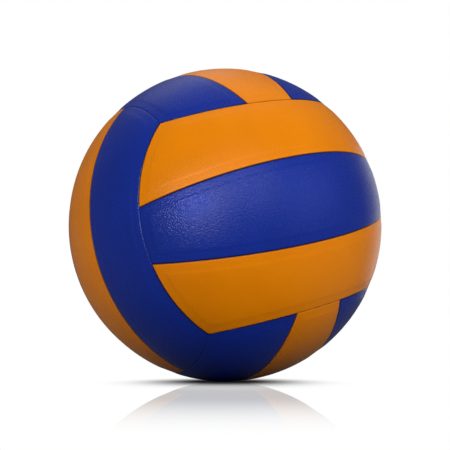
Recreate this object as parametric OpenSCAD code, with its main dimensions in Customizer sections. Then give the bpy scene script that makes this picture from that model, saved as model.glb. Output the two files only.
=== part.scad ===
// Indoor volleyball of 18 bonded panels over a rubber carcass, a thread winding and a bladder.
// The origin is the centre of the ball, and +Z is up as the ball stands on its floor.
// Six faces hold three strips each. Two neighbouring faces run their strips at right angles.

/* [Ball] */
// Diameter over the panels of the blown-up ball
ball_d = 210; // [190:1:230]
// Width of a middle strip at the centre of its face, along the curve
middle_w = 49; // [42:0.5:56]
// Width of a middle strip at each of its ends, straight across
middle_end_w = 31.5; // [26:0.5:38]
// Gap between the cut edges of two neighbouring panels
seam_gap = 0.3; // [0.1:0.05:0.6]
// Width of the rolled groove along a seam
groove_w = 2.4; // [1.4:0.1:4]
// Depth of the rolled groove along a seam
groove_depth = 0.7; // [0.3:0.05:0.75]

/* [Layers] */
// Thickness of the composite leather of a panel
cover_t = 1.3; // [0.9:0.1:2]
// Thickness of the foam bonded to the back of a panel
foam_t = 1.7; // [1:0.1:3]
// Thickness of the moulded rubber carcass
carcass_t = 0.9; // [0.6:0.1:2]
// Thickness of the layer of wound nylon thread
winding_t = 0.5; // [0.3:0.1:1]
// Wall of the butyl bladder
bladder_t = 0.8; // [0.6:0.1:1.5]

/* [Valve housing] */
// Diameter of the rubber neck that shows in the panel
neck_d = 8.8; // [8.4:0.1:12]
// Clearance round the neck in the layers that it passes through
neck_gap = 0.1; // [0.05:0.05:0.3]
// Depth of the neck's face below the top of the panel
neck_recess = 0.4; // [0.3:0.05:0.8]
// Diameter of the boss inside the bladder
boss_d = 13; // [12:0.5:18]
// Diameter of the flange bonded to the inside of the bladder
flange_d = 36; // [28:1:50]
// Thickness of the flange
flange_t = 1.2; // [0.8:0.1:2]
// Thickness of the lip that stops the core at the inner end
lip_t = 1.5; // [1:0.1:3]
// Diameter of the air passage through the lip
passage_d = 3; // [2.4:0.1:4]
// Glue line between the bladder and what is bonded to its inside
glue_t = 0.1; // [0.05:0.05:0.3]

/* [Valve core] */
// Diameter of the core's head
head_d = 6.8; // [6.2:0.1:7.6]
// Thickness of the core's head
head_t = 1.4; // [1:0.1:2.5]
// Diameter of the core's shank
shank_d = 5.2; // [4.4:0.1:5.8]
// Length of the core from the face of its head to its inner end
core_len = 13; // [10:0.5:16]
// Running clearance all round the core in its housing
core_fit = 0.05; // [0.02:0.01:0.1]
// Space left under the inner end of the core
core_end_gap = 0.3; // [0.1:0.1:0.6]
// Diameter of the hole that guides the inflating needle
needle_d = 2.1; // [1.9:0.05:2.4]
// Depth of the needle hole from the face of the head
needle_depth = 8; // [5:0.5:8.5]
// Diameter of the mouth of the needle hole
mouth_d = 3.4; // [2.8:0.1:4]
// Depth of the tapered mouth of the needle hole
mouth_t = 0.9; // [0.5:0.1:1.5]

/* [Balance patch] */
// Diameter of the patch that balances the valve, inside the bladder
patch_d = 40; // [30:1:50]
// Thickness of the balance patch
patch_t = 2; // [1:0.1:3]

/* [Standing] */
// Forward lean of the ball, in degrees
lean_forward = 3; // [-30:0.5:30]
// Sideways lean of the ball, to its right, in degrees
lean_right = -16.5; // [-30:0.5:30]
// Turn of the ball about the upright axis, in degrees
turn = 27.5; // [-90:0.5:90]

/* [Hidden] */
$fn = 144;
orange = "#EE9114";
blue = "#29309B";
cream = "#E9E2CC";
black = "#232326";
graphite = "#3B3C40";

// How far each cut runs past what it cuts
overrun = 5;

// Radii from the outside in, each layer lying on the next
ball_r = ball_d / 2;
foam_r = ball_r - cover_t;
carcass_r = foam_r - foam_t;
winding_r = carcass_r - carcass_t;
bladder_r = winding_r - winding_t;
air_r = bladder_r - bladder_t;
bonded_r = air_r - glue_t;

// Half the angle that a face spans: eight corners lie where three faces meet
face_half = atan(sqrt(2));
cut_low = carcass_r * cos(face_half) - overrun;
cut_high = ball_r + overrun;

// The seam beside a middle strip lies in a plane through these two points of its edge
centre_half = middle_w / ball_d * 180 / PI;
centre_z = ball_r * cos(centre_half);
centre_y = ball_r * sin(centre_half);
end_z = ball_r * cos(face_half);
end_y = middle_end_w / 2;
seam_slope = (centre_y - end_y) / (centre_z - end_z);
seam_tilt = atan(seam_slope);
seam_offset = (end_y - seam_slope * end_z) * cos(seam_tilt);

// Heights along the valve's axis, from the centre of the ball
neck_top = ball_r - neck_recess;
head_under = neck_top - head_t;
core_end = neck_top - core_len;
bore_end = core_end - core_end_gap;
housing_end = bore_end - lip_t;
needle_end = neck_top - needle_depth;

FACES = ["front", "back", "left", "right", "top", "bottom"];
// Turns a face that looks up +Z, with its strips along X, to its place on the ball
FACE_TURNS = [[90, 0, 0], [90, 0, 180], [0, -90, 0], [0, 90, 0], [0, 0, -90], [180, 0, 90]];
STRIPS = [
    ["lower", "middle", "upper"], ["lower", "middle", "upper"],
    ["front", "middle", "rear"], ["front", "middle", "rear"],
    ["left", "middle", "right"], ["left", "middle", "right"]
];
OUTER_COLOURS = [orange, orange, blue, blue, blue, blue];
MIDDLE_COLOURS = [blue, blue, orange, orange, orange, orange];
VALVE_FACE = 1;

face_list = [0 : len(FACES) - 1];
row_list = [-1 : 1];

function strip_name(face, row, kind) = str(FACES[face], "_", STRIPS[face][row + 1], "_", kind);
function has_valve(face, row) = face == VALVE_FACE && row == 0;
// Half the width of a middle strip at a height above the centre of the ball
function half_width(z) = (seam_offset + z * sin(seam_tilt)) / cos(seam_tilt);

// Leans and turns a module that is drawn in the ball's own directions
module stand() {
    rotate([lean_forward, lean_right, turn]) children();
}

module on_face(face) {
    stand() rotate(FACE_TURNS[face]) children();
}

// A hollow ball, with its poles off the faces' centres
module shell(outer_r, thickness) {
    rotate([0, 90, 0]) difference() {
        sphere(r = outer_r);
        sphere(r = outer_r - thickness);
    }
}

// The slice of a face that one strip takes, as a block along X whose flanks are the seams
module strip_block(row, seam_height) {
    gap = seam_gap / 2;
    gap_y = gap / cos(seam_tilt);
    low = seam_height + gap;
    low_w = half_width(low);
    high_w = half_width(cut_high);
    middle_shape = [
        [gap_y - low_w, low], [low_w - gap_y, low],
        [high_w - gap_y, cut_high], [gap_y - high_w, cut_high]
    ];
    outer_shape = [
        [low_w + gap_y, low], [seam_height - gap, low],
        [seam_height - gap, cut_high], [high_w + gap_y, cut_high]
    ];
    rotate([90, 0, 90]) linear_extrude(height = 2 * cut_high, center = true) {
        if (row == 0) polygon(middle_shape);
        if (row == 1) polygon(outer_shape);
        if (row == -1) mirror([1, 0]) polygon(outer_shape);
    }
}

// A V-shaped groove round the ball, at an angle from +Z
module groove(angle) {
    top = ball_r + overrun;
    bottom = ball_r - groove_depth;
    top_half = groove_w / 2 * (groove_depth + overrun) / groove_depth;
    rotate_extrude() polygon([
        [bottom * sin(angle), bottom * cos(angle)],
        [top * sin(angle) + top_half * cos(angle), top * cos(angle) - top_half * sin(angle)],
        [top * sin(angle) - top_half * cos(angle), top * cos(angle) + top_half * sin(angle)]
    ]);
}

// The groove along a seam beside a middle strip, on the +Y side or the -Y side
module seam_groove(side) {
    rotate([-side * (90 + seam_tilt), 0, 0]) groove(acos(seam_offset / ball_r));
}

// One strip of a layer, with its face looking up +Z and its length along X
module strip(row, outer_r, thickness) {
    intersection() {
        shell(outer_r, thickness);
        strip_block(row, outer_r * cos(face_half));
    }
}

module neck_hole() {
    translate([0, 0, cut_low]) cylinder(h = cut_high - cut_low, d = neck_d + 2 * neck_gap);
}

module panel(face, row) {
    color(row == 0 ? MIDDLE_COLOURS[face] : OUTER_COLOURS[face]) on_face(face) difference() {
        strip(row, ball_r, cover_t);
        groove(face_half);
        if (row == 0) seam_groove(-1);
        if (row == 0) seam_groove(1);
        if (row != 0) seam_groove(row);
        if (row != 0) rotate([-90 * row, 0, 0]) groove(face_half);
        if (has_valve(face, row)) neck_hole();
    }
}

module foam(face, row) {
    color(cream) on_face(face) difference() {
        strip(row, foam_r, foam_t);
        if (has_valve(face, row)) neck_hole();
    }
}

module inner_layer(outer_r, thickness) {
    on_face(VALVE_FACE) difference() {
        shell(outer_r, thickness);
        neck_hole();
    }
}

module carcass() {
    color(graphite) inner_layer(carcass_r, carcass_t);
}

module thread_winding() {
    color(cream) inner_layer(winding_r, winding_t);
}

module bladder() {
    color(black) inner_layer(bladder_r, bladder_t);
}

// A disc that follows the inside of the bladder, on the +Z side
module inside_disc(disc_d, thickness) {
    intersection() {
        shell(bonded_r, thickness);
        translate([0, 0, cut_low]) cylinder(h = cut_high - cut_low, d = disc_d);
    }
}

module valve_housing() {
    color(black) on_face(VALVE_FACE) difference() {
        union() {
            inside_disc(flange_d, flange_t);
            translate([0, 0, housing_end])
                cylinder(h = bonded_r - flange_t / 2 - housing_end, d = boss_d);
            translate([0, 0, housing_end])
                cylinder(h = neck_top - housing_end, d = neck_d);
        }
        translate([0, 0, bore_end])
            cylinder(h = cut_high - bore_end, d = shank_d + 2 * core_fit);
        translate([0, 0, head_under])
            cylinder(h = cut_high - head_under, d = head_d + 2 * core_fit);
        translate([0, 0, housing_end - overrun])
            cylinder(h = 2 * overrun, d = passage_d);
    }
}

module valve_core() {
    color(graphite) on_face(VALVE_FACE) difference() {
        union() {
            translate([0, 0, core_end]) cylinder(h = core_len, d = shank_d);
            translate([0, 0, head_under]) cylinder(h = head_t, d = head_d);
        }
        translate([0, 0, needle_end]) cylinder(h = needle_depth + overrun, d = needle_d);
        translate([0, 0, neck_top - mouth_t])
            cylinder(h = mouth_t, d1 = needle_d, d2 = mouth_d);
    }
}

module balance_patch() {
    color(black) on_face(VALVE_FACE) mirror([0, 0, 1]) inside_disc(patch_d, patch_t);
}

for (face = face_list, row = row_list) {
    panel(face, row);
    foam(face, row);
}
carcass();
thread_winding();
bladder();
valve_housing();
valve_core();
balance_patch();
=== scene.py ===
"""Dress the volleyball: pressed leather panels, rubber valve, a white sweep and soft studio light."""

from math import atan, cos, pi, radians, sin, sqrt

import bpy
import numpy as np
from mathutils import Euler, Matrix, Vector


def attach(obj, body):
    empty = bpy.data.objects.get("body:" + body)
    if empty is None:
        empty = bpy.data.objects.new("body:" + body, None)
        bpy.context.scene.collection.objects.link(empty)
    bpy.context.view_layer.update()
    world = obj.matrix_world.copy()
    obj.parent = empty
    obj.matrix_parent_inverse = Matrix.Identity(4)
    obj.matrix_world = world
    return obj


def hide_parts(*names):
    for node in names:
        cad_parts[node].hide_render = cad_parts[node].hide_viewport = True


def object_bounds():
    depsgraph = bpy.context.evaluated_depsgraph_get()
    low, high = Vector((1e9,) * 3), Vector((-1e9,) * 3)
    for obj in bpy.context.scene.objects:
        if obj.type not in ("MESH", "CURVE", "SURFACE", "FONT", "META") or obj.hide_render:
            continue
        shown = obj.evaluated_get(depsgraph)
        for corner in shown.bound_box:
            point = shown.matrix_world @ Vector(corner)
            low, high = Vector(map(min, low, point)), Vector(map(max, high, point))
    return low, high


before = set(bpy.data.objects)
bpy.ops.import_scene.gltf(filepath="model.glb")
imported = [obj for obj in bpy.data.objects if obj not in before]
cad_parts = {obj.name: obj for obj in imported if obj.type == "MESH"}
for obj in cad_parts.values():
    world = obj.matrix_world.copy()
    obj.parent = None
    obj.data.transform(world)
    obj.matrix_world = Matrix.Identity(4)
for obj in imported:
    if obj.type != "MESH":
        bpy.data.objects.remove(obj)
cad_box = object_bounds()

MM = 0.001
BALL_R = (cad_box[1][0] - cad_box[0][0]) / 2

# Sizes of the panels, as the construction has them. The outer strips vary in width, and have this
# width only for sharing out their mesh lines
COVER_T = 1.3 * MM
MIDDLE_W = 49 * MM
MIDDLE_END_W = 31.5 * MM
OUTER_W = 40 * MM
PANEL_HOLE_D = 9 * MM

# How the ball leans and turns where it lies. Each face has its turn from looking up with its strips
# along X, the names of its strips, and three colours: of its outer strips, of the outer strips past
# its ends, and of those past its sides
STAND = Euler([radians(a) for a in (3, -16.5, 27.5)]).to_matrix()
FACES = {
    "front": ((90, 0, 0), ("lower", "middle", "upper"), "orange", "blue", "blue"),
    "back": ((90, 0, 180), ("lower", "middle", "upper"), "orange", "blue", "blue"),
    "left": ((0, -90, 0), ("front", "middle", "rear"), "blue", "blue", "orange"),
    "right": ((0, 90, 0), ("front", "middle", "rear"), "blue", "blue", "orange"),
    "top": ((0, 0, -90), ("left", "middle", "right"), "blue", "orange", "blue"),
    "bottom": ((180, 0, 90), ("left", "middle", "right"), "blue", "orange", "blue"),
}
OTHER_COLOUR = {"blue": "orange", "orange": "blue"}
VALVE_PANEL = "back_middle_panel"

# Relief of a panel: a lip rolled into the seam, a margin that slopes to it where the leather is
# pared thin, and a step at the margin's other side where the full thickness starts
LIP_W = 0.9 * MM
LIP_DEPTH = 0.3 * MM
MARGIN_W = 4.2 * MM
MARGIN_DEPTH = 0.1 * MM
STEP_W = 2.4 * MM
STEP_DEPTH = 0.19 * MM
SEAM_GAP_HALF = 0.02 * MM

# Mesh lines of a panel: distances from a seam in mm, then an even pitch. Round the middle of the
# valve's panel, the lines inside the first ring make way for the hole, and those past the second
# ring lie as they do elsewhere
EDGE_LINES_MM = (0, 0.1, 0.25, 0.42, 0.62, 0.85, 1.3, 2.1, 3.1, 4, 4.5, 5, 5.5, 6, 6.5, 7, 7.8, 9)
EDGE_LINES = [d * MM for d in EDGE_LINES_MM]
MESH_PITCH = 2.6 * MM
VALVE_MESH_PITCH = 1.2 * MM
HOLE_RING = 4
BLEND_RING = 10

# Where three faces meet, on a ball of radius 1
CORNER = 1 / sqrt(3)


def seam_line():
    """The plane y = offset + slope * z beside a middle strip, on a ball of radius 1."""
    half = MIDDLE_W / 2 / BALL_R
    end_y = MIDDLE_END_W / 2 / BALL_R
    slope = (sin(half) - end_y) / (cos(half) - CORNER)
    return end_y - slope * CORNER, slope


SEAM_OFFSET, SEAM_SLOPE = seam_line()
SEAM_LENGTH = sqrt(1 + SEAM_SLOPE**2)


def lines_across(width, pitch):
    """Even shares from 0 to 1, closer together near both ends, with one line at the middle."""
    inner = width / 2 - EDGE_LINES[-1]
    count = max(1, round(inner / pitch))
    half = EDGE_LINES + [EDGE_LINES[-1] + inner * k / count for k in range(1, count + 1)]
    shares = [d / width for d in half]
    return np.array(shares + [1 - s for s in reversed(shares[:-1])])


def strip_grid(row, pitch):
    """Points of a strip on a ball of radius 1: lines along X by lines across Y, looking up Z."""
    gap = SEAM_GAP_HALF / BALL_R
    width = MIDDLE_W if row == 0 else OUTER_W
    along = 2 * lines_across(2 * atan(sqrt(2)) * BALL_R, pitch) - 1
    across = lines_across(width, pitch)[None, :]
    if row == 0:
        offset = (2 * across - 1) * (SEAM_OFFSET - gap)
        slope = (2 * across - 1) * SEAM_SLOPE
    else:
        offset = (1 - across) * (SEAM_OFFSET + gap) + across * (CORNER - gap)
        slope = (1 - across) * SEAM_SLOPE
    length = np.sqrt(1 + slope**2)
    distance = offset / length
    radius = np.sqrt(1 - distance**2)
    reach = np.arccos(((CORNER + gap) * length + distance * slope) / radius)
    angle = along[:, None] * reach
    x = radius * np.sin(angle)
    y = (distance + radius * np.cos(angle) * slope) / length
    z = (radius * np.cos(angle) - distance * slope) / length
    return np.stack([x, y, z], axis=-1)


def open_hole(points, pitch):
    """Draw the mesh lines round the middle into rings about a round hole. Returns each point's ring."""
    rows, columns = points.shape[:2]
    i, j = np.indices((rows, columns))
    i, j = i - rows // 2, j - columns // 2
    ring = np.maximum(abs(i), abs(j))
    near = (ring >= HOLE_RING) & (ring <= BLEND_RING)
    side = np.where(abs(i) >= abs(j), pi / 4 * j / np.maximum(ring, 1), 0)
    turn = np.where(i > 0, side, pi - side)
    other = pi / 4 * i / np.maximum(ring, 1)
    turn = np.where(abs(i) >= abs(j), turn, np.where(j > 0, pi / 2 - other, other - pi / 2))
    share = (ring - HOLE_RING) / (BLEND_RING - HOLE_RING)
    radius = (PANEL_HOLE_D / 2 * (1 - share) + BLEND_RING * pitch * share) / BALL_R
    share = smooth(share)
    x = (1 - share) * radius * np.cos(turn) + share * points[..., 0]
    y = (1 - share) * radius * np.sin(turn) + share * points[..., 1]
    points[..., 0] = np.where(near, x, points[..., 0])
    points[..., 1] = np.where(near, y, points[..., 1])
    points[..., 2] = np.sqrt(1 - points[..., 0] ** 2 - points[..., 1] ** 2)
    return ring


def seam_distances(points, row, has_hole):
    """Distances over the ball from each point to the edges of its strip."""
    x, y, z = np.moveaxis(points, -1, 0)
    seam = np.arcsin(SEAM_OFFSET / SEAM_LENGTH)
    upper = np.arcsin((y - SEAM_SLOPE * z) / SEAM_LENGTH)
    lower = np.arcsin((-y - SEAM_SLOPE * z) / SEAM_LENGTH)
    edges = [np.arcsin(z) - np.arcsin(CORNER)]
    if row == 0:
        edges += [seam - upper, seam - lower]
    else:
        edges += [upper - seam, np.arcsin(CORNER) - np.arcsin(y)]
    if has_hole:
        edges.append(np.hypot(x, y) - PANEL_HOLE_D / 2 / BALL_R)
    return [np.maximum(e, 0) * BALL_R for e in edges]


def strip_colour(outer, row):
    """A face's middle strip has the colour that its outer strips haven't."""
    return outer if row else OTHER_COLOUR[outer]


def colour_seam_distance(points, distances, face, row):
    """Distance to the nearest seam with a panel of the other colour."""
    outer, past_ends, past_sides = FACES[face][2:]
    mine = strip_colour(outer, row)
    far = np.full(points.shape[:2], BALL_R)
    found = [distances[0] if past_ends != mine else far, distances[1]]
    if row == 0:
        found.append(distances[2])
    else:
        beside_middle = abs(points[..., 0]) < MIDDLE_END_W / 2 / BALL_R
        crossed = beside_middle if strip_colour(past_sides, 0) != mine else ~beside_middle
        found.append(np.where(crossed, distances[2], far))
    return np.minimum.reduce(found)


def joined(falls):
    """Falls of 0 to 1 from several edges, running together at a corner."""
    left = 1.0
    for fall in falls:
        left = left * (1 - fall)
    return 1 - left


def smooth(share):
    """A share of 0 to 1 that starts and ends without a kink."""
    share = np.clip(share, 0, 1)
    return share**2 * (3 - 2 * share)


def sunk(distances):
    """How far a panel's surface lies below the ball, by its distances from the seams."""
    lip = joined([np.maximum(1 - d / LIP_W, 0) ** 2 for d in distances])
    margin = joined([np.maximum(1 - d / MARGIN_W, 0) for d in distances])
    step = joined([smooth(1 - (d - MARGIN_W) / STEP_W) for d in distances])
    return LIP_DEPTH * lip + MARGIN_DEPTH * margin + STEP_DEPTH * step


def panel_mesh(name, face, row):
    """A panel's leather as one closed sheet: its relief, its flat back, and walls along its edges."""
    has_hole = name == VALVE_PANEL
    pitch = VALVE_MESH_PITCH if has_hole else MESH_PITCH
    points = strip_grid(row, pitch)
    rows, columns = points.shape[:2]
    ring = open_hole(points, pitch) if has_hole else np.full((rows, columns), HOLE_RING)
    distances = seam_distances(points, row, has_hole)
    colour_line = colour_seam_distance(points, distances, face, row)
    if row < 0:
        points = points * (1, -1, 1)
    turn = STAND @ Euler([radians(a) for a in FACES[face][0]]).to_matrix()
    points = points @ np.array(turn).T
    top = points * (BALL_R - sunk(distances))[..., None]
    under = points * (BALL_R - COVER_T)
    # Distances to the seams, which the leather uses for its painted shade and highlight along them
    marks = {"seam_mm": np.minimum.reduce(distances) / MM, "colour_seam_mm": colour_line / MM}

    # Points inside the hole have no number, and cells that need one of them are left open
    kept = (ring >= HOLE_RING).ravel()
    number = np.where(kept, np.cumsum(kept) - 1, -1).reshape(rows, columns)
    count = int(kept.sum())
    corners = np.stack([number[:-1, :-1], number[1:, :-1], number[1:, 1:], number[:-1, 1:]], axis=-1)
    corners = corners.reshape(-1, 4)
    corners = corners[(corners >= 0).all(axis=1)]
    if row < 0:
        corners = corners[:, ::-1]
    sides = np.stack([corners, np.roll(corners, -1, axis=1)], axis=-1).reshape(-1, 2)
    met = {tuple(s) for s in sides}
    rim = [(a, b) for a, b in met if (b, a) not in met]
    walls = [(b, a, a + count, b + count) for a, b in rim]
    faces = [tuple(f) for f in corners] + [tuple(f[::-1] + count) for f in corners] + walls

    spots = np.concatenate([top.reshape(-1, 3)[kept], under.reshape(-1, 3)[kept]])
    mesh = bpy.data.meshes.new(name)
    mesh.from_pydata(spots.tolist(), [], [tuple(int(c) for c in f) for f in faces])
    mesh.validate()
    for mark, values in marks.items():
        attribute = mesh.attributes.new(mark, "FLOAT", "POINT")
        flat = values.ravel()[kept]
        attribute.data.foreach_set("value", np.concatenate([flat, 0 * flat]).astype(np.float32))

    # The leather's face comes first and is smooth. Its back and its walls have the cut edge's look
    quads = len(corners)
    mesh.polygons.foreach_set("use_smooth", [k < quads for k in range(len(mesh.polygons))])
    mesh.polygons.foreach_set("material_index", [int(k >= quads) for k in range(len(mesh.polygons))])
    return mesh


def linear(code):
    """An sRGB hex colour as the linear colour that shaders take."""
    parts = [int(code[k:k + 2], 16) / 255 for k in (1, 3, 5)]
    return [c / 12.92 if c <= 0.04045 else ((c + 0.055) / 1.055) ** 2.4 for c in parts] + [1]


def add(tree, kind, inputs=(), **settings):
    """Add a node. A value in inputs is a socket to link or a constant to set."""
    made = tree.nodes.new(kind)
    for name, value in settings.items():
        setattr(made, name, value)
    for name, value in dict(inputs).items():
        if isinstance(value, bpy.types.NodeSocket):
            tree.links.new(value, made.inputs[name])
        else:
            made.inputs[name].default_value = value
    return made


def new_material(name):
    """An empty material and its node tree."""
    material = bpy.data.materials.new(name)
    material.use_nodes = True
    material.node_tree.nodes.clear()
    return material, material.node_tree


def finish_material(tree, shader):
    """Give a material its surface."""
    add(tree, "ShaderNodeOutputMaterial", {"Surface": shader})


def per_metre(size_mm):
    """A pattern's scale for cells of a real size."""
    return 1 / (size_mm * MM)


# Grain of the leather: pressed pebbles with fine wrinkles on them, and clouds of deeper dye. The
# pebbles are drawn a little wider than the real ones, so that they show. The grain is deep in the
# glaze, which carries the specks of light, and shallow in the hide below it
PEBBLE_MM = 0.85
PEBBLE_ROUNDING = 0.2
WRINKLE_MM = 0.5
WRINKLE_DETAIL = 3
WRINKLE_SHARE = 0.3
CLOUD_MM = 28
CLOUD_DETAIL = 2
CLOUD_FROM = 0.3
CLOUD_TO = 0.7
CLOUD_SHARE = 0.22
GLAZE_RELIEF = 0.17 * MM
HIDE_RELIEF = 0.05 * MM
GLAZE_ROUGH_FROM = 0.2
GLAZE_ROUGH_TO = 0.32
HIDE_ROUGH = 0.38
HIDE_SHINE = 0.5


def pressed_leather(name, colour, deep, edge, edge_mm, line, line_mm, sheen, glaze):
    """Composite leather, pressed with a pebble grain and glazed: the glaze breaks the light into specks."""
    material, tree = new_material(name)
    place = add(tree, "ShaderNodeTexCoord").outputs["Object"]
    pebble = add(tree, "ShaderNodeTexVoronoi",
                 {"Vector": place, "Scale": per_metre(PEBBLE_MM), "Smoothness": PEBBLE_ROUNDING},
                 feature="SMOOTH_F1").outputs["Distance"]
    wrinkle = add(tree, "ShaderNodeTexNoise",
                  {"Vector": place, "Scale": per_metre(WRINKLE_MM), "Detail": WRINKLE_DETAIL})
    cloud = add(tree, "ShaderNodeTexNoise",
                {"Vector": place, "Scale": per_metre(CLOUD_MM), "Detail": CLOUD_DETAIL})
    relief = add(tree, "ShaderNodeMath", {0: wrinkle.outputs["Fac"], 1: WRINKLE_SHARE, 2: pebble},
                 operation="MULTIPLY_ADD")
    shade = add(tree, "ShaderNodeMapRange", {
        "Value": cloud.outputs["Fac"], "From Min": CLOUD_FROM, "From Max": CLOUD_TO,
        "To Max": CLOUD_SHARE})
    paint = add(tree, "ShaderNodeMix", {"Factor": shade.outputs[0], 6: linear(colour), 7: linear(deep)},
                data_type="RGBA").outputs[2]
    # Painted seam marks: near any seam the edge colour paints shade into the groove, and a paler edge
    # colour paints a highlight on the lip; near a seam with the other colour the line colour paints the
    # groove's shade dark
    for mark, width, tone in (("seam_mm", edge_mm, edge), ("colour_seam_mm", line_mm, line)):
        near = add(tree, "ShaderNodeAttribute", attribute_name=mark).outputs["Fac"]
        share = add(tree, "ShaderNodeMapRange",
                    {"Value": near, "From Max": width, "To Min": 1, "To Max": 0},
                    interpolation_type="SMOOTHSTEP")
        paint = add(tree, "ShaderNodeMix", {"Factor": share.outputs[0], 6: paint, 7: linear(tone)},
                    data_type="RGBA").outputs[2]
    rough = add(tree, "ShaderNodeMapRange",
                {"Value": pebble, "To Min": GLAZE_ROUGH_FROM, "To Max": GLAZE_ROUGH_TO})
    pores = add(tree, "ShaderNodeBump", {"Height": relief.outputs[0], "Distance": -GLAZE_RELIEF})
    soft = add(tree, "ShaderNodeBump", {"Height": relief.outputs[0], "Distance": -HIDE_RELIEF})
    skin = add(tree, "ShaderNodeBsdfPrincipled", {
        "Base Color": paint, "Roughness": HIDE_ROUGH, "Specular IOR Level": HIDE_SHINE,
        "Specular Tint": linear(sheen), "Normal": soft.outputs[0], "Coat Weight": glaze,
        "Coat Roughness": rough.outputs[0], "Coat Normal": pores.outputs[0]})
    finish_material(tree, skin.outputs[0])
    return material


RUBBER_IOR = 1.52
GRAIN_DETAIL = 4
GRAIN_DARKENING = 0.7


def plain_finish(name, colour, roughness, grain_mm, relief_mm):
    """One colour with a faint grain, for what lies under the leather."""
    material, tree = new_material(name)
    place = add(tree, "ShaderNodeTexCoord").outputs["Object"]
    grain = add(tree, "ShaderNodeTexNoise",
                {"Vector": place, "Scale": per_metre(grain_mm), "Detail": GRAIN_DETAIL})
    light = linear(colour)
    dark = [c * GRAIN_DARKENING for c in light[:3]] + [1]
    tone = add(tree, "ShaderNodeMix", {"Factor": grain.outputs["Fac"], 6: light, 7: dark},
               data_type="RGBA")
    bump = add(tree, "ShaderNodeBump", {"Height": grain.outputs["Fac"], "Distance": relief_mm * MM})
    skin = add(tree, "ShaderNodeBsdfPrincipled", {
        "Base Color": tone.outputs[2], "Roughness": roughness, "IOR": RUBBER_IOR,
        "Normal": bump.outputs[0]})
    finish_material(tree, skin.outputs[0])
    return material


# Dyed and glazed leather. Along every seam the orange one has painted shade, browner in the groove.
# The blue one has more glaze, and a painted highlight that makes its lips paler at its seams. Where
# the two colours meet, each has a painted dark line of groove shade, wider on the blue
orange_leather = pressed_leather(
    "orange pressed leather", colour="#F78D01", deep="#D66F00", edge="#A85C0A", edge_mm=0.6,
    line="#6E3408", line_mm=0.6, sheen="#FF8A18", glaze=0.3)
blue_leather = pressed_leather(
    "blue pressed leather", colour="#112F9A", deep="#0C2073", edge="#1C328C", edge_mm=0.3,
    line="#05081A", line_mm=1.0, sheen="#5A78FF", glaze=0.42)
# The leather's cut edge and back: dark and dry, which keeps the seams dark
cut_edge = plain_finish("cut leather edge", "#2A2420", 0.8, 0.4, 0.02)
# Foam sheet: cream and matt, with small closed cells
closed_foam = plain_finish("closed cell foam", "#E9E2CC", 0.9, 0.6, 0.08)
# Rubber of the carcass: dark grey and dull from its mould
moulded_rubber = plain_finish("moulded natural rubber", "#3B3C40", 0.7, 1.5, 0.05)
# Thread wound on the bladder: off-white, with the thread's own fine ridges
nylon_thread = plain_finish("wound nylon thread", "#E6E2D6", 0.6, 0.4, 0.1)
# Airtight rubber: near black with a low shine
butyl_rubber = plain_finish("butyl rubber", "#232326", 0.45, 2.0, 0.03)
# The valve core's softer rubber: a paler grey, so that it shows against its housing
core_rubber = plain_finish("valve core rubber", "#3B3C40", 0.4, 0.8, 0.02)

FINISHES = {
    "carcass": moulded_rubber, "thread_winding": nylon_thread, "bladder": butyl_rubber,
    "balance_patch": butyl_rubber, "valve_housing": butyl_rubber, "valve_core": core_rubber}


def build_panels():
    """Every panel's leather, in place of the plain solid of the panel."""
    for face in FACES:
        for row, strip in zip((-1, 0, 1), FACES[face][1]):
            name = f"{face}_{strip}_panel"
            blue = strip_colour(FACES[face][2], row) == "blue"
            piece = bpy.data.objects.new(f"{name}_leather", panel_mesh(name, face, row))
            bpy.context.scene.collection.objects.link(piece)
            piece.data.materials.append(blue_leather if blue else orange_leather)
            piece.data.materials.append(cut_edge)
            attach(piece, "ball")
            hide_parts(name)


def dress_inside():
    """Finishes for the solids below the panels: foam, unless they are named above."""
    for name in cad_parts:
        if name.endswith("_panel"):
            continue
        materials = bpy.data.objects[name].data.materials
        materials.clear()
        materials.append(FINISHES.get(name, closed_foam))


build_panels()
dress_inside()

# The camera stands close to the floor, four ball radii from the ball's centre
CAMERA_RISE = radians(-13)
CAMERA_FAR = 4 * BALL_R
CAMERA_NEAREST = 5 * MM
LENS_MM = 48.5

# Light from the room on everything in it, how much of the room the ball's glaze and the polished
# floor show, and how much of the white floor the ball's glaze shows
ROOM_LEVEL = 0.15
SHEEN_LEVEL = 0.1
MIRROR_LEVEL = 0.46
GLOSS_LEVEL = 0.1

# The floor changes with the distance from the ball's foot, in metres, and the depth counts for less
# than the width. Between its two distances, the painted part of the contact shadow ends, the mirror
# image fades, the painted shade of the floor that lights the ball turns from dark to bright, and the
# floor's glow in the ball's glaze rises from a painted shade by the foot
FLOOR_HALF = 4
DEPTH_SHARE = 0.57
SHADOW_ENDS = (0.018, 0.092)
MIRROR_FADES = (0.115, 0.18)
BOUNCE_STARTS = (0.08, 0.13)
GLOSS_STARTS = (0.012, 0.06)
# The grey paper that takes the ball's shadow by its foot, then the painted shade and the brightness of the
# floor that lights the ball
SHADED_PAPER = "#8C8C8C"
BOUNCE_DARK = "#303030"
BOUNCE_BRIGHT = "#C8C8C8"

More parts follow.
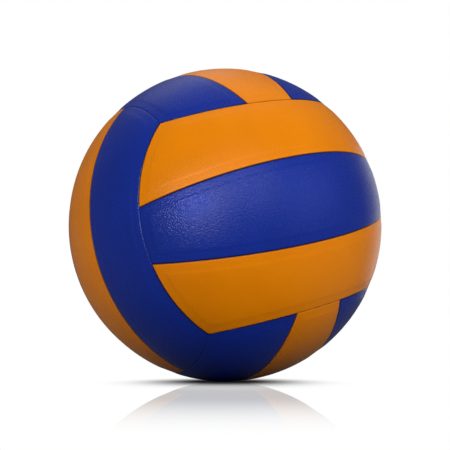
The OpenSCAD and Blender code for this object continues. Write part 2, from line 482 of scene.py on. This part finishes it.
# Each lamp's place, width and height in metres, and its power in watts. An open lamp lights the ball
# and shows in its glaze, a hidden one only lights it, and a glint only shows in it
LAMPS = (
    ("top softbox", (0, 0, 1.4), 1, 1, 8.5, "hidden"),
    ("rear top glint", (-0.3, 0.55, 1.25), 0.9, 0.5, 0.66, "glint"),
    ("rear softbox", (0, 1.12, 0.84), 0.8, 0.5, 5, "hidden"),
    ("rear right softbox", (0.85, 1.1, 0.3), 0.5, 0.8, 1.1, "open"),
    ("rear left softbox", (-1.15, 0.8, 0), 0.5, 0.2, 4.4, "hidden"),
    ("low rear softbox", (0, 1.4, 0.05), 1, 0.3, 2.4, "hidden"),
    ("front softbox", (0.25, -1.3, 0.42), 0.5, 0.25, 3.9, "open"),
    ("front left softbox", (-0.46, -1.32, 0.04), 0.2, 0.14, 2.2, "open"),
    ("front left glint", (-0.46, -1.29, 0.05), 0.2, 0.12, 4.4, "glint"),
    ("low front softbox", (0.05, -1.4, 0), 1, 0.2, 4, "hidden"),
    ("right softbox", (1.08, -0.84, 0.29), 0.45, 0.35, 3.2, "hidden"),
    ("right glint", (1.08, -0.84, 0.29), 0.7, 0.5, 2.4, "glint"),
)


def place_camera():
    """A camera that looks up at the ball from just above the floor."""
    data = bpy.data.cameras.new("camera")
    data.lens = LENS_MM
    data.clip_start = CAMERA_NEAREST
    camera = bpy.data.objects.new("camera", data)
    bpy.context.scene.collection.objects.link(camera)
    camera.location = Vector((0, -cos(CAMERA_RISE), sin(CAMERA_RISE))) * CAMERA_FAR
    camera.rotation_euler = (pi / 2 - CAMERA_RISE, 0, 0)
    bpy.context.scene.camera = camera


def polished_sweep():
    """White sweep with the ball's contact shadow and, further out, its fading image in the polish."""
    material, tree = new_material("white sweep")
    white_colour = linear("#FFFFFF")
    path = add(tree, "ShaderNodeLightPath")
    place = add(tree, "ShaderNodeTexCoord").outputs["Object"]
    flat = add(tree, "ShaderNodeVectorMath", {0: place, 1: (1, DEPTH_SHARE, 0)}, operation="MULTIPLY")
    away = add(tree, "ShaderNodeVectorMath", {0: flat.outputs[0]}, operation="LENGTH").outputs["Value"]
    far = add(tree, "ShaderNodeMapRange",
              {"Value": away, "From Min": SHADOW_ENDS[0], "From Max": SHADOW_ENDS[1]},
              interpolation_type="SMOOTHSTEP")

    # What the ball sees: a dull floor with painted shade, dark near its foot and bright further out, and
    # in its glaze a white glow that is likewise painted darker near the foot
    lit = add(tree, "ShaderNodeMapRange",
              {"Value": away, "From Min": BOUNCE_STARTS[0], "From Max": BOUNCE_STARTS[1]})
    bounce = add(tree, "ShaderNodeMix",
                 {0: lit.outputs[0], 6: linear(BOUNCE_DARK), 7: linear(BOUNCE_BRIGHT)}, data_type="RGBA")
    dull = add(tree, "ShaderNodeBsdfDiffuse", {"Color": bounce.outputs[2]})
    gloss = add(tree, "ShaderNodeMapRange", {
        "Value": away, "From Min": GLOSS_STARTS[0], "From Max": GLOSS_STARTS[1],
        "To Max": GLOSS_LEVEL})
    shown = add(tree, "ShaderNodeEmission", {"Color": white_colour, "Strength": gloss.outputs[0]})
    around = add(tree, "ShaderNodeMixShader",
                 {0: path.outputs["Is Glossy Ray"], 1: dull.outputs[0], 2: shown.outputs[0]})

    # What the camera sees: grey paper by the ball's foot, which the lamps light so that it takes the
    # ball's shadow, fading with distance into a white glow, so that the shadow's reach is painted. Then
    # white with the mirror image in it. The mirror shows the room at its own level, and a lift brings it
    # up to white
    paper = add(tree, "ShaderNodeBsdfDiffuse", {"Color": linear(SHADED_PAPER)})
    white = add(tree, "ShaderNodeEmission", {"Color": white_colour, "Strength": 1})
    sweep = add(tree, "ShaderNodeMixShader", {0: far.outputs[0], 1: paper.outputs[0], 2: white.outputs[0]})
    mirror = add(tree, "ShaderNodeBsdfGlossy", {"Color": white_colour, "Roughness": 0})
    lift = add(tree, "ShaderNodeEmission", {"Color": white_colour, "Strength": 1 - MIRROR_LEVEL})
    polish = add(tree, "ShaderNodeAddShader", {0: mirror.outputs[0], 1: lift.outputs[0]})
    fade = add(tree, "ShaderNodeMapRange", {
        "Value": away, "From Min": MIRROR_FADES[1], "From Max": MIRROR_FADES[0], "To Max": 1},
        interpolation_type="SMOOTHSTEP")
    near = add(tree, "ShaderNodeMath", {0: fade.outputs[0], 1: far.outputs[0]}, operation="MULTIPLY")
    glazed = add(tree, "ShaderNodeMixShader",
                 {0: near.outputs[0], 1: sweep.outputs[0], 2: polish.outputs[0]})
    whole = add(tree, "ShaderNodeMixShader",
                {0: path.outputs["Is Camera Ray"], 1: around.outputs[0], 2: glazed.outputs[0]})
    finish_material(tree, whole.outputs[0])
    return material


def white_floor():
    """The floor, level with the ball's foot."""
    mesh = bpy.data.meshes.new("floor")
    spots = [(x * FLOOR_HALF, y * FLOOR_HALF, -BALL_R) for x, y in ((-1, -1), (1, -1), (1, 1), (-1, 1))]
    mesh.from_pydata(spots, [], [(0, 1, 2, 3)])
    floor = bpy.data.objects.new("floor", mesh)
    bpy.context.scene.collection.objects.link(floor)
    mesh.materials.append(polished_sweep())
    return floor


def all_but(thing):
    """A collection that makes a lamp light everything but one thing."""
    others = bpy.data.collections.new("no lamp images")
    others.objects.link(thing)
    others.collection_objects[0].light_linking.link_state = "EXCLUDE"
    return others


def light_from_room():
    """A white room for the camera, at a lower level for all that it lights or shows in."""
    world = bpy.data.worlds.new("studio")
    bpy.context.scene.world = world
    world.use_nodes = True
    tree = world.node_tree
    tree.nodes.clear()
    path = add(tree, "ShaderNodeLightPath")
    sheen = add(tree, "ShaderNodeMapRange", {
        "Value": path.outputs["Is Glossy Ray"], "To Min": ROOM_LEVEL, "To Max": SHEEN_LEVEL})
    seen = add(tree, "ShaderNodeMapRange", {
        "Value": path.outputs["Is Singular Ray"], "To Min": sheen.outputs[0], "To Max": MIRROR_LEVEL})
    level = add(tree, "ShaderNodeMath", {0: seen.outputs[0], 1: path.outputs["Is Camera Ray"]},
                operation="MAXIMUM")
    light = add(tree, "ShaderNodeBackground", {"Color": linear("#FFFFFF"), "Strength": level.outputs[0]})
    add(tree, "ShaderNodeOutputWorld", {"Surface": light.outputs[0]})


def softbox(name, place, width, height, power, kind, lit_things):
    """A lamp aimed at the ball. One that the glaze shows leaves out the floor, whose polish would too."""
    data = bpy.data.lights.new(name, "AREA")
    data.shape = "RECTANGLE"
    data.size = width
    data.size_y = height
    data.energy = power
    lamp = bpy.data.objects.new(name, data)
    bpy.context.scene.collection.objects.link(lamp)
    lamp.location = place
    lamp.visible_camera = False
    lamp.visible_glossy = kind != "hidden"
    lamp.visible_diffuse = kind != "glint"
    if kind != "hidden":
        lamp.light_linking.receiver_collection = lit_things
    lamp.rotation_euler = (-Vector(place)).to_track_quat("-Z", "Y").to_euler()


place_camera()
all_but_floor = all_but(white_floor())
light_from_room()
for lamp in LAMPS:
    softbox(*lamp, all_but_floor)
bpy.context.scene.view_settings.view_transform = "Standard"
